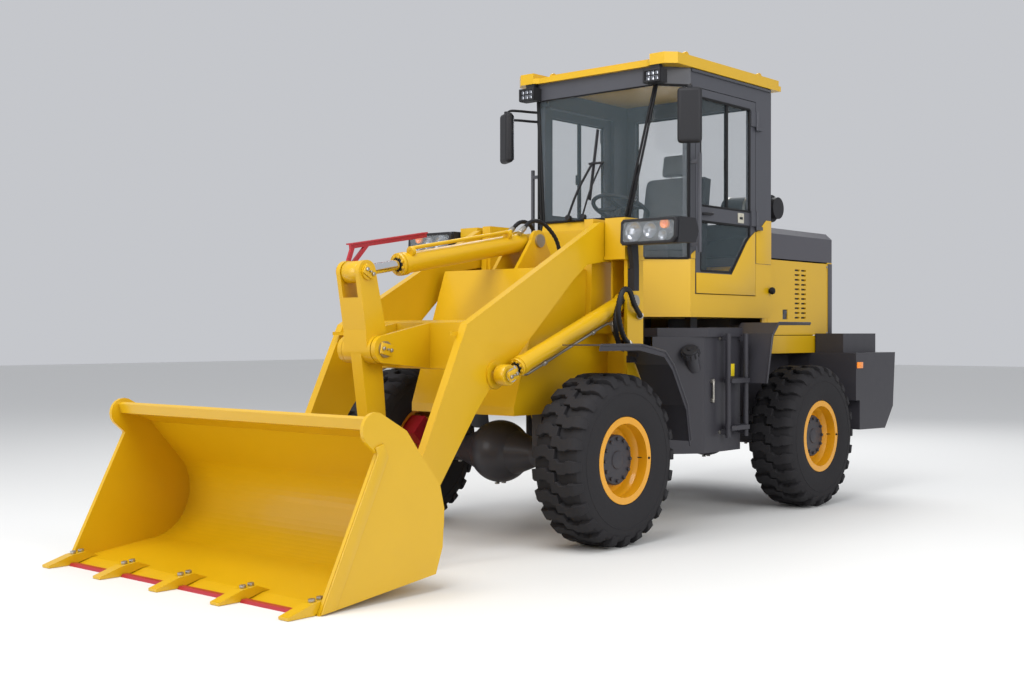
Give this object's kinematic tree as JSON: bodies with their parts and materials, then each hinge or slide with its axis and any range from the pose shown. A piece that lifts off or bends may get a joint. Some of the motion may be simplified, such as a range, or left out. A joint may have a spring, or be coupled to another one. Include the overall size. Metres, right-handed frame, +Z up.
{
  "type": "compact articulated wheel loader",
  "caption": "Compact articulated wheel loader with a toothed bucket, single-rocker linkage, closed cab, side tanks and rear engine hood.",
  "frame": {"origin": "on the ground, at the centre of the overall box", "axes": "+X forward to the bucket, +Y left, +Z up"},
  "size_m": [5.891, 2.125, 2.972],
  "materials": {
    "yellow_paint": "gloss machine enamel",
    "rim_paint": "orange-yellow enamel",
    "grey_paint": "satin dark grey enamel",
    "black_paint": "satin black enamel",
    "red_paint": "red enamel",
    "pin_steel": "machined",
    "rod_chrome": "hard chrome",
    "tyre_rubber": "dull rubber",
    "window_glass": "clear glass",
    "trim_plastic": "grained black",
    "seat_cloth": "black vinyl"
  },
  "bodies": {
    "rear": {"rear_frame": "grey_paint", "rear_axle": "grey_paint", "rear_brakes": "red_paint", "powertrain": "grey_paint", "counterweight": "grey_paint", "hood_top": "grey_paint", "hood_frame": "yellow_paint", "cab_base": "yellow_paint", "cab_frame": "black_paint", "cab_roof": "yellow_paint", "cab_glass": "window_glass", "seat": "seat_cloth", "dashboard": "trim_plastic", "side_tanks": "grey_paint", "steps": "grey_paint", "rear_fenders": "grey_paint", "mirrors": "trim_plastic", "work_lamps": "trim_plastic", "air_cleaner": "trim_plastic"},
    "front": {"front_frame": "yellow_paint", "frame_pins": "pin_steel", "front_axle": "grey_paint", "front_brakes": "red_paint", "front_fenders": "grey_paint", "headlamps": "trim_plastic"},
    "boom": {"boom": "yellow_paint", "bucket_pins": "pin_steel", "rocker_pin": "pin_steel"},
    "bucket": {"bucket": "yellow_paint", "bucket_teeth": "yellow_paint", "edge_strips": "red_paint", "link_pin": "pin_steel"},
    "link": {"link": "yellow_paint"},
    "rocker": {"rocker": "yellow_paint", "level_bar": "red_paint"},
    "tilt_barrel": {"tilt_barrel": "yellow_paint"},
    "tilt_rod": {"tilt_rod": "rod_chrome"},
    "lift_barrel_left": {"lift_barrel_left": "yellow_paint"},
    "lift_rod_left": {"lift_rod_left": "rod_chrome"},
    "steer_barrel_left": {"steer_barrel_left": "yellow_paint"},
    "steer_rod_left": {"steer_rod_left": "rod_chrome"},
    "door_left": {"door_left": "black_paint", "door_glass_left": "window_glass"},
    "engine_door_left": {"engine_door_left": "yellow_paint"},
    "wheel_front_left": {"tyre_front_left": "tyre_rubber", "rim_front_left": "rim_paint"},
    "wheel_rear_left": {"tyre_rear_left": "tyre_rubber", "rim_rear_left": "rim_paint"},
    "lift_barrel_right": {"lift_barrel_right": "yellow_paint"},
    "lift_rod_right": {"lift_rod_right": "rod_chrome"},
    "steer_barrel_right": {"steer_barrel_right": "yellow_paint"},
    "steer_rod_right": {"steer_rod_right": "rod_chrome"},
    "door_right": {"door_right": "black_paint", "door_glass_right": "window_glass"},
    "engine_door_right": {"engine_door_right": "yellow_paint"},
    "wheel_front_right": {"tyre_front_right": "tyre_rubber", "rim_front_right": "rim_paint"},
    "wheel_rear_right": {"tyre_rear_right": "tyre_rubber", "rim_rear_right": "rim_paint"}
  },
  "joints": [
    {"name": "steer", "type": "hinge", "parent": "rear", "child": "front", "pos_m": [-0.6045, 0, 0.75], "axis": [0, 0, 1], "range_deg": [-35, 35]},
    {"name": "lift", "type": "hinge", "parent": "front", "child": "boom", "pos_m": [0.1105, 0, 1.72], "axis": [0, -1, 0], "range_deg": [0, 80]},
    {"name": "tilt", "type": "hinge", "parent": "boom", "child": "bucket", "pos_m": [1.8305, 0, 0.24], "axis": [0, 1, 0], "range_deg": [-40, 107]},
    {"name": "rocker_turn", "type": "hinge", "parent": "boom", "child": "rocker", "pos_m": [1.6205, 0, 1.097], "axis": [0, -1, 0], "range_deg": [-8, 21.4]},
    {"name": "link_turn", "type": "hinge", "parent": "bucket", "child": "link", "pos_m": [1.9905, 0, 0.417], "axis": [0, -1, 0], "range_deg": [-21.4, 57.24]},
    {"name": "tilt_cylinder_turn", "type": "hinge", "parent": "front", "child": "tilt_barrel", "pos_m": [0.2905, 0, 1.74], "axis": [0, -1, 0], "range_deg": [0, 87.7]},
    {"name": "tilt_cylinder_stroke", "type": "slide", "parent": "tilt_barrel", "child": "tilt_rod", "axis": [0.9862, 0, -0.1655], "range_m": [-0.04354, 0.01628]},
    {"name": "lift_cylinder_left_turn", "type": "hinge", "parent": "front", "child": "lift_barrel_left", "pos_m": [0.0805, 0.574, 1.37], "axis": [0, -1, 0], "range_deg": [0, 73.3]},
    {"name": "lift_cylinder_left_stroke", "type": "slide", "parent": "lift_barrel_left", "child": "lift_rod_left", "axis": [0.9338, 0, -0.3578], "range_m": [0, 0.4235]},
    {"name": "steer_cylinder_left_turn", "type": "hinge", "parent": "rear", "child": "steer_barrel_left", "pos_m": [-0.8345, 0.17, 0.8], "axis": [0, 0, 1], "range_deg": [-23.66, 23.66]},
    {"name": "steer_cylinder_left_stroke", "type": "slide", "parent": "steer_barrel_left", "child": "steer_rod_left", "axis": [0.9812, 0.1927, 0], "range_m": [-0.12629, 0.12629]},
    {"name": "lift_cylinder_right_turn", "type": "hinge", "parent": "front", "child": "lift_barrel_right", "pos_m": [0.0805, -0.574, 1.37], "axis": [0, -1, 0], "range_deg": [0, 73.3]},
    {"name": "lift_cylinder_right_stroke", "type": "slide", "parent": "lift_barrel_right", "child": "lift_rod_right", "axis": [0.9338, 0, -0.3578], "range_m": [0, 0.4235]},
    {"name": "steer_cylinder_right_turn", "type": "hinge", "parent": "rear", "child": "steer_barrel_right", "pos_m": [-0.8345, -0.17, 0.8], "axis": [0, 0, 1], "range_deg": [-23.66, 23.66]},
    {"name": "steer_cylinder_right_stroke", "type": "slide", "parent": "steer_barrel_right", "child": "steer_rod_right", "axis": [0.9812, -0.1927, 0], "range_m": [-0.12629, 0.12629]},
    {"name": "wheel_front_left_spin", "type": "hinge", "parent": "front", "child": "wheel_front_left", "pos_m": [0.5305, 0.775, 0.48], "axis": [0, 1, 0], "continuous": true},
    {"name": "wheel_front_right_spin", "type": "hinge", "parent": "front", "child": "wheel_front_right", "pos_m": [0.5305, -0.775, 0.48], "axis": [0, 1, 0], "continuous": true},
    {"name": "wheel_rear_left_spin", "type": "hinge", "parent": "rear", "child": "wheel_rear_left", "pos_m": [-1.7395, 0.775, 0.48], "axis": [0, 1, 0], "continuous": true},
    {"name": "wheel_rear_right_spin", "type": "hinge", "parent": "rear", "child": "wheel_rear_right", "pos_m": [-1.7395, -0.775, 0.48], "axis": [0, 1, 0], "continuous": true},
    {"name": "door_left_swing", "type": "hinge", "parent": "rear", "child": "door_left", "pos_m": [-1.3715, 0.633, 2.2], "axis": [0, 0, 1], "range_deg": [0, 100]},
    {"name": "engine_door_left_lift", "type": "hinge", "parent": "rear", "child": "engine_door_left", "pos_m": [-2.0695, 0.536, 1.688], "axis": [1, 0, 0], "range_deg": [0, 80]},
    {"name": "door_right_swing", "type": "hinge", "parent": "rear", "child": "door_right", "pos_m": [-1.3715, -0.633, 2.2], "axis": [0, 0, -1], "range_deg": [0, 100]},
    {"name": "engine_door_right_lift", "type": "hinge", "parent": "rear", "child": "engine_door_right", "pos_m": [-2.0695, -0.536, 1.688], "axis": [-1, 0, 0], "range_deg": [0, 80]}
  ],
  "couplings": [
    {"joint": "rocker_turn", "follows": "tilt", "ratio": 0.2},
    {"joint": "link_turn", "follows": "tilt", "ratio": 0.535},
    {"joint": "tilt_cylinder_turn", "follows": "lift", "ratio": 1.0963},
    {"joint": "tilt_cylinder_stroke", "follows": "tilt", "m_per_rad": -0.023313},
    {"joint": "lift_cylinder_left_turn", "follows": "lift", "ratio": 0.9162},
    {"joint": "lift_cylinder_left_stroke", "follows": "lift", "m_per_rad": 0.30331},
    {"joint": "steer_cylinder_left_turn", "follows": "steer", "ratio": 0.67602},
    {"joint": "steer_cylinder_left_stroke", "follows": "steer", "m_per_rad": -0.20674},
    {"joint": "lift_cylinder_right_turn", "follows": "lift", "ratio": 0.9162},
    {"joint": "lift_cylinder_right_stroke", "follows": "lift", "m_per_rad": 0.30331},
    {"joint": "steer_cylinder_right_turn", "follows": "steer", "ratio": 0.67602},
    {"joint": "steer_cylinder_right_stroke", "follows": "steer", "m_per_rad": 0.20674}
  ]
}
